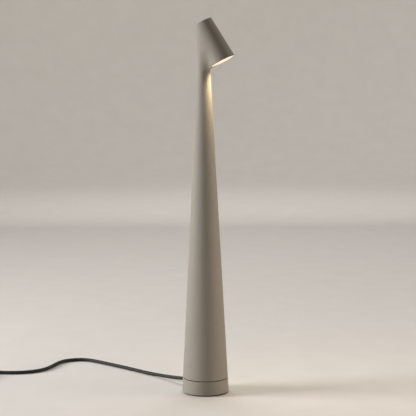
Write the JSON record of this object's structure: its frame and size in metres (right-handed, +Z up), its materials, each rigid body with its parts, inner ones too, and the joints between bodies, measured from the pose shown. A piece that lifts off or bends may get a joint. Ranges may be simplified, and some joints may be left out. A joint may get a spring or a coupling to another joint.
{
  "type": "table lamp",
  "caption": "Slim tapering column table lamp with a tilted spotlight head, turning on a weighted foot ring, with a black round mains lead.",
  "frame": {"origin": "centre of the foot pad's underside, on the desk, on the column's axis", "axes": "+Z up along the column, +X the way the head reaches out at rest"},
  "size_m": [0.5426, 0.2865, 0.6198],
  "materials": {
    "powder_coat": "warm grey fine-textured powder coat, matt",
    "foot_rubber": "moulded black rubber",
    "acetal_black": "black turned acetal",
    "zinc_steel": "zinc-plated steel",
    "cast_iron_black": "black phosphated",
    "brass": "turned",
    "bronze_bush": "sintered bronze",
    "cord_textile": "black braided textile over round flex",
    "plug_black": "moulded black PVC",
    "nickel": "nickel-plated brass",
    "terminal_white": "white polyamide",
    "driver_white": "white polycarbonate",
    "circuit_green": "solder-masked glass laminate",
    "ferrite_tape": "yellow polyester tape over ferrite",
    "capacitor_sleeve": "shrink sleeve",
    "wire_white": "silicone sheath",
    "tray_aluminium": "sheet, mill finish",
    "sink_aluminium": "black anodised",
    "led_board_white": "white solder mask on aluminium",
    "led_phosphor": "phosphor gel",
    "reflector_white": "vacuum-metallised polycarbonate",
    "seal_silicone": "white silicone",
    "opal_acrylic": "opal acrylic, lit",
    "copper": "copper foil on film"
  },
  "bodies": {
    "base": {"foot_pad": "foot_rubber", "base_ring": "powder_coat", "bottom_plate": "zinc_steel", "base_screws": "zinc_steel", "ballast_disc": "cast_iron_black", "glide_ring": "acetal_black", "base_stop_pin": "zinc_steel", "pivot_tube": "brass", "pivot_nut_lower": "zinc_steel", "pivot_nut_upper": "zinc_steel", "thrust_washer": "zinc_steel", "wave_washer": "zinc_steel", "cord_gland": "plug_black", "inlet_lead": "cord_textile", "cord_clamp": "terminal_white", "clamp_screws": "zinc_steel", "terminal_block": "terminal_white", "supply_lead": "wire_white", "mains_cord": "cord_textile", "cord_coil": "cord_textile", "cord_tail": "cord_textile", "plug_body": "plug_black", "plug_pins": "nickel"},
    "column": {"lamp_body": "powder_coat", "hub_weight": "cast_iron_black", "pivot_bush": "bronze_bush", "body_stop_pin": "zinc_steel", "hub_screws": "zinc_steel", "driver_tray": "tray_aluminium", "tray_screws": "zinc_steel", "driver_case": "driver_white", "driver_lid": "driver_white", "driver_board": "circuit_green", "input_terminal": "terminal_white", "output_terminal": "terminal_white", "transformer": "ferrite_tape", "capacitors": "capacitor_sleeve", "led_lead": "wire_white", "led_connector": "terminal_white", "heat_sink": "sink_aluminium", "led_board": "led_board_white", "led_chip": "led_phosphor", "led_screws": "zinc_steel", "reflector": "reflector_white", "diffuser_seal": "seal_silicone", "diffuser": "opal_acrylic", "touch_sensor": "copper"}
  },
  "joints": [
    {"name": "body_swivel", "type": "hinge", "parent": "base", "child": "column", "pos_m": [0, 0, 0.0256], "axis": [0, 0, 1], "range_deg": [-170, 170]}
  ]
}
